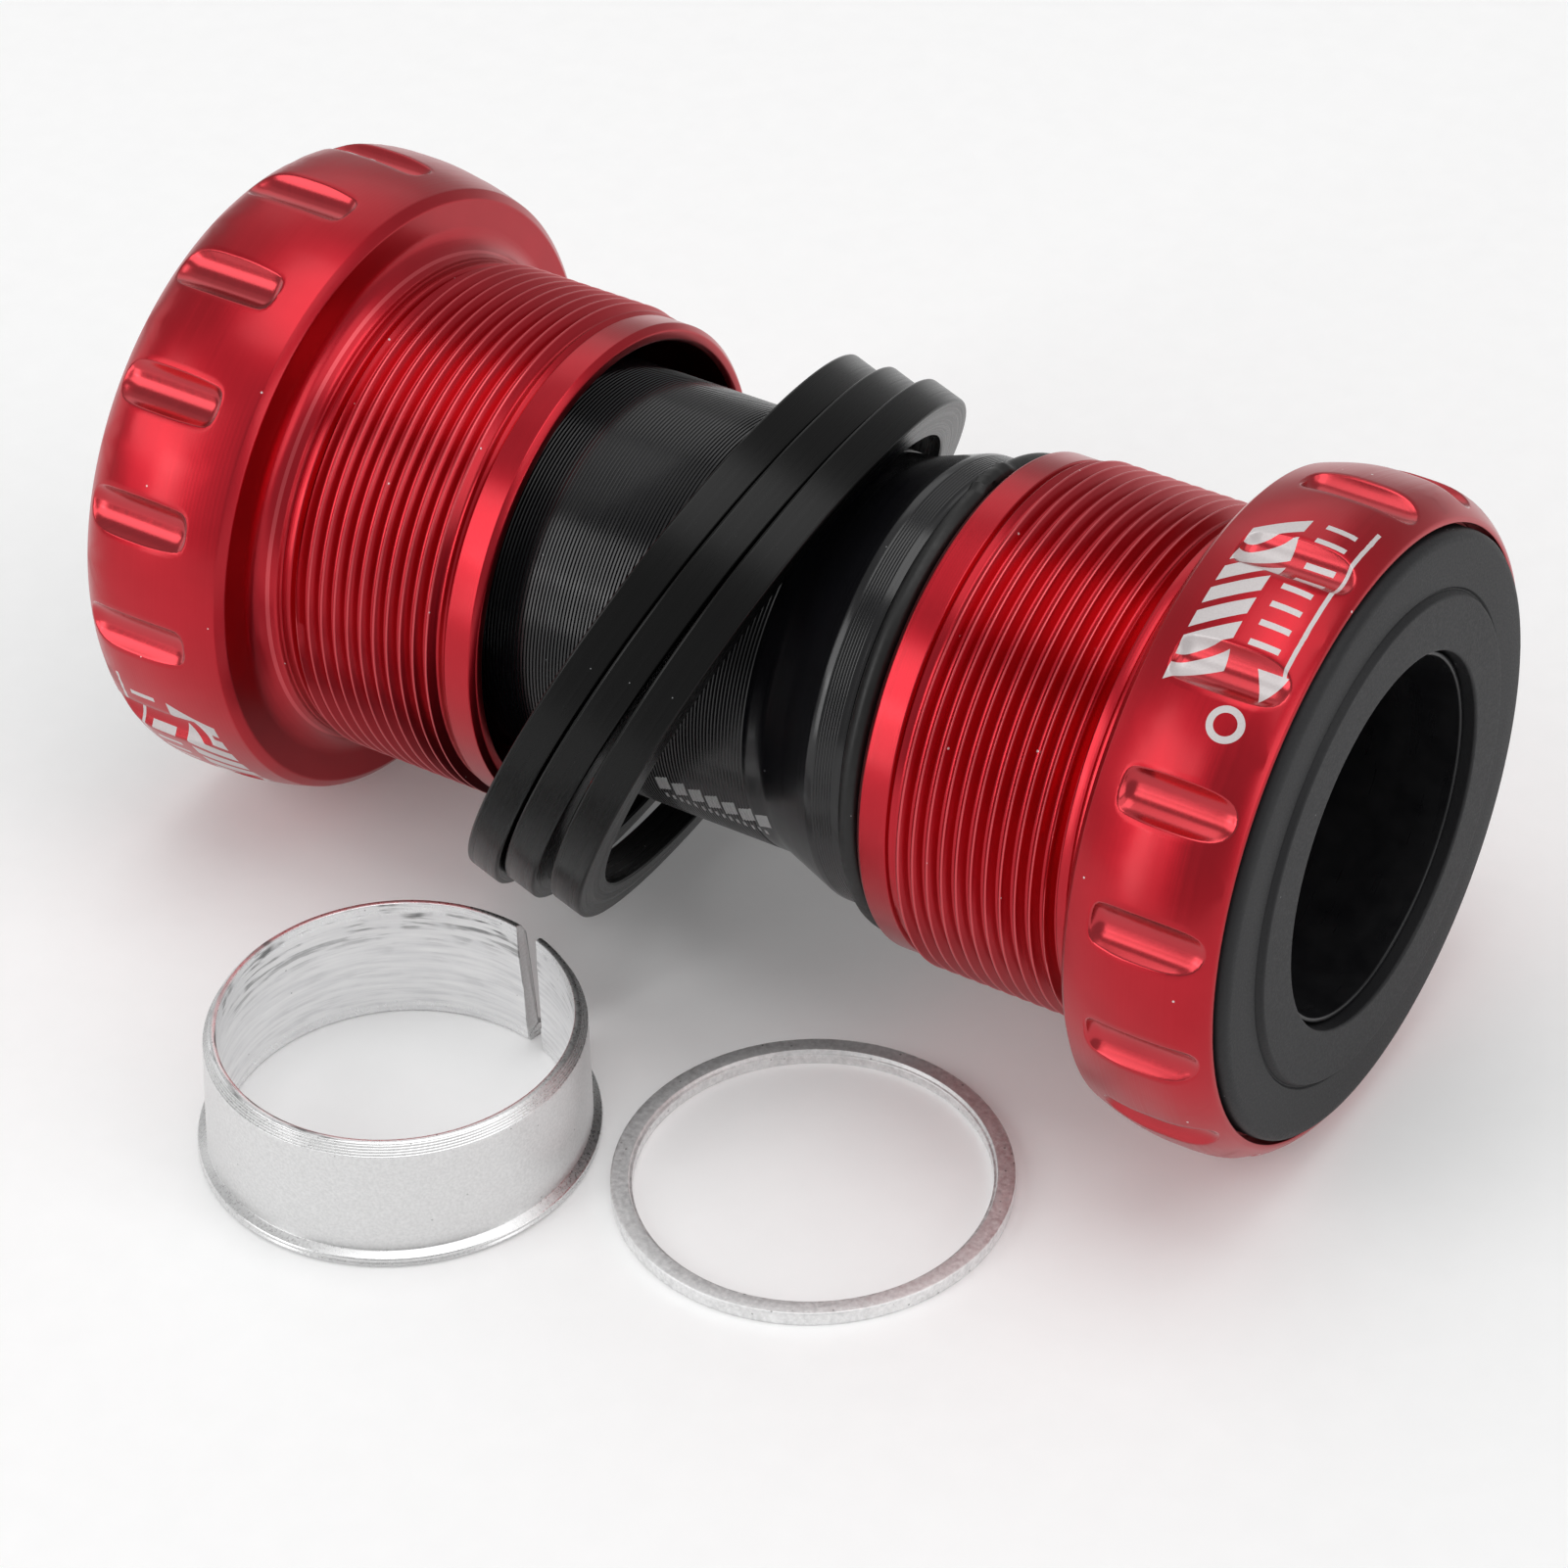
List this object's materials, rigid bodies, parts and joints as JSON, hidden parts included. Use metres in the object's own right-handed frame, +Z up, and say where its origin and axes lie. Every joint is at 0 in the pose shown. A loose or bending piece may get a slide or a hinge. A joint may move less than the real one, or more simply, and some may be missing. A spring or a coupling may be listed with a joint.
{
  "type": "bottom bracket",
  "caption": "Bicycle bottom bracket: two flanged threaded bearing cups with notched heads on a centre sleeve, loose spacers, split adapter sleeve and thin washer.",
  "frame": {"origin": "middle of the whole kit's base, on the surface it lies on", "axes": "+X along the spindle axis towards the drive-side cup, +Z up, the loose adapter sleeve and washer lie at -Y"},
  "size_m": [0.0878, 0.0694, 0.0447],
  "materials": {
    "red_anodised": "satin red anodised, fine turning lines",
    "black_anodised": "black anodised, fine turned grooves",
    "spacer_black": "satin black anodised",
    "raw_aluminium": "bare turned aluminium",
    "cover_rubber": "matte black with a fine grain",
    "bushing_plastic": "gloss black",
    "oring_rubber": "smooth black",
    "seal_rubber": "matte",
    "bearing_steel": "ground steel",
    "ball_steel": "polished",
    "cage_nylon": "moulded nylon"
  },
  "bodies": {
    "sleeve": {"center_sleeve": "black_anodised", "sleeve_oring_left": "oring_rubber", "sleeve_oring_right": "oring_rubber"},
    "left_cup_shell": {"left_cup": "red_anodised", "left_outer_race": "bearing_steel", "left_inboard_seal": "seal_rubber", "left_outboard_seal": "seal_rubber"},
    "left_spindle_side": {"left_dust_cover": "cover_rubber", "left_bushing": "bushing_plastic", "left_inner_race": "bearing_steel"},
    "left_ball_set": {"left_cage": "cage_nylon", "left_ball_01": "ball_steel", "left_ball_02": "ball_steel", "left_ball_03": "ball_steel", "left_ball_04": "ball_steel", "left_ball_05": "ball_steel", "left_ball_06": "ball_steel", "left_ball_07": "ball_steel", "left_ball_08": "ball_steel", "left_ball_09": "ball_steel", "left_ball_10": "ball_steel", "left_ball_11": "ball_steel", "left_ball_12": "ball_steel", "left_ball_13": "ball_steel", "left_ball_14": "ball_steel"},
    "right_cup_shell": {"right_cup": "red_anodised", "right_outer_race": "bearing_steel", "right_inboard_seal": "seal_rubber", "right_outboard_seal": "seal_rubber"},
    "right_spindle_side": {"right_dust_cover": "cover_rubber", "right_bushing": "bushing_plastic", "right_inner_race": "bearing_steel"},
    "right_ball_set": {"right_cage": "cage_nylon", "right_ball_01": "ball_steel", "right_ball_02": "ball_steel", "right_ball_03": "ball_steel", "right_ball_04": "ball_steel", "right_ball_05": "ball_steel", "right_ball_06": "ball_steel", "right_ball_07": "ball_steel", "right_ball_08": "ball_steel", "right_ball_09": "ball_steel", "right_ball_10": "ball_steel", "right_ball_11": "ball_steel", "right_ball_12": "ball_steel", "right_ball_13": "ball_steel", "right_ball_14": "ball_steel"},
    "spacer_ring_1": {"spacer_1": "spacer_black"},
    "spacer_ring_2": {"spacer_2": "spacer_black"},
    "spacer_ring_3": {"spacer_3": "spacer_black"},
    "loose_adapter": {"adapter_sleeve": "raw_aluminium"},
    "loose_washer": {"shim_washer": "raw_aluminium"}
  },
  "joints": [
    {"name": "left_cup_slide", "type": "slide", "parent": "sleeve", "child": "left_cup_shell", "axis": [-1, 0, 0], "range_m": [0, 0.012]},
    {"name": "left_bearing_spin", "type": "hinge", "parent": "left_cup_shell", "child": "left_spindle_side", "pos_m": [-0.0361, 0.01241, 0.02233], "axis": [1, 0, 0], "continuous": true},
    {"name": "left_cage_spin", "type": "hinge", "parent": "left_cup_shell", "child": "left_ball_set", "pos_m": [-0.0361, 0.01241, 0.02233], "axis": [1, 0, 0], "continuous": true},
    {"name": "right_cup_slide", "type": "slide", "parent": "sleeve", "child": "right_cup_shell", "axis": [1, 0, 0], "range_m": [0, 0.012]},
    {"name": "right_bearing_spin", "type": "hinge", "parent": "right_cup_shell", "child": "right_spindle_side", "pos_m": [0.0372, 0.01241, 0.02233], "axis": [1, 0, 0], "continuous": true},
    {"name": "right_cage_spin", "type": "hinge", "parent": "right_cup_shell", "child": "right_ball_set", "pos_m": [0.0372, 0.01241, 0.02233], "axis": [1, 0, 0], "continuous": true},
    {"name": "spacer_1_spin", "type": "hinge", "parent": "sleeve", "child": "spacer_ring_1", "pos_m": [-0.00858, 0.01161, 0.02041], "axis": [0.906, 0.0237, -0.4226], "continuous": true},
    {"name": "spacer_2_spin", "type": "hinge", "parent": "sleeve", "child": "spacer_ring_2", "pos_m": [-0.00563, 0.01161, 0.02041], "axis": [0.906, 0.0237, -0.4226], "continuous": true},
    {"name": "spacer_3_spin", "type": "hinge", "parent": "sleeve", "child": "spacer_ring_3", "pos_m": [-0.00218, 0.01161, 0.02039], "axis": [0.9146, 0.024, -0.4035], "continuous": true},
    {"name": "adapter_slide", "type": "slide", "parent": "sleeve", "child": "loose_adapter", "axis": [-0.7071, -0.7071, 0], "range_m": [0, 0.03]},
    {"name": "washer_slide", "type": "slide", "parent": "sleeve", "child": "loose_washer", "axis": [0.7071, -0.7071, 0], "range_m": [0, 0.03]}
  ],
  "couplings": [
    {"joint": "left_cage_spin", "follows": "left_bearing_spin", "ratio": 0.4435},
    {"joint": "right_cage_spin", "follows": "right_bearing_spin", "ratio": 0.4435}
  ]
}
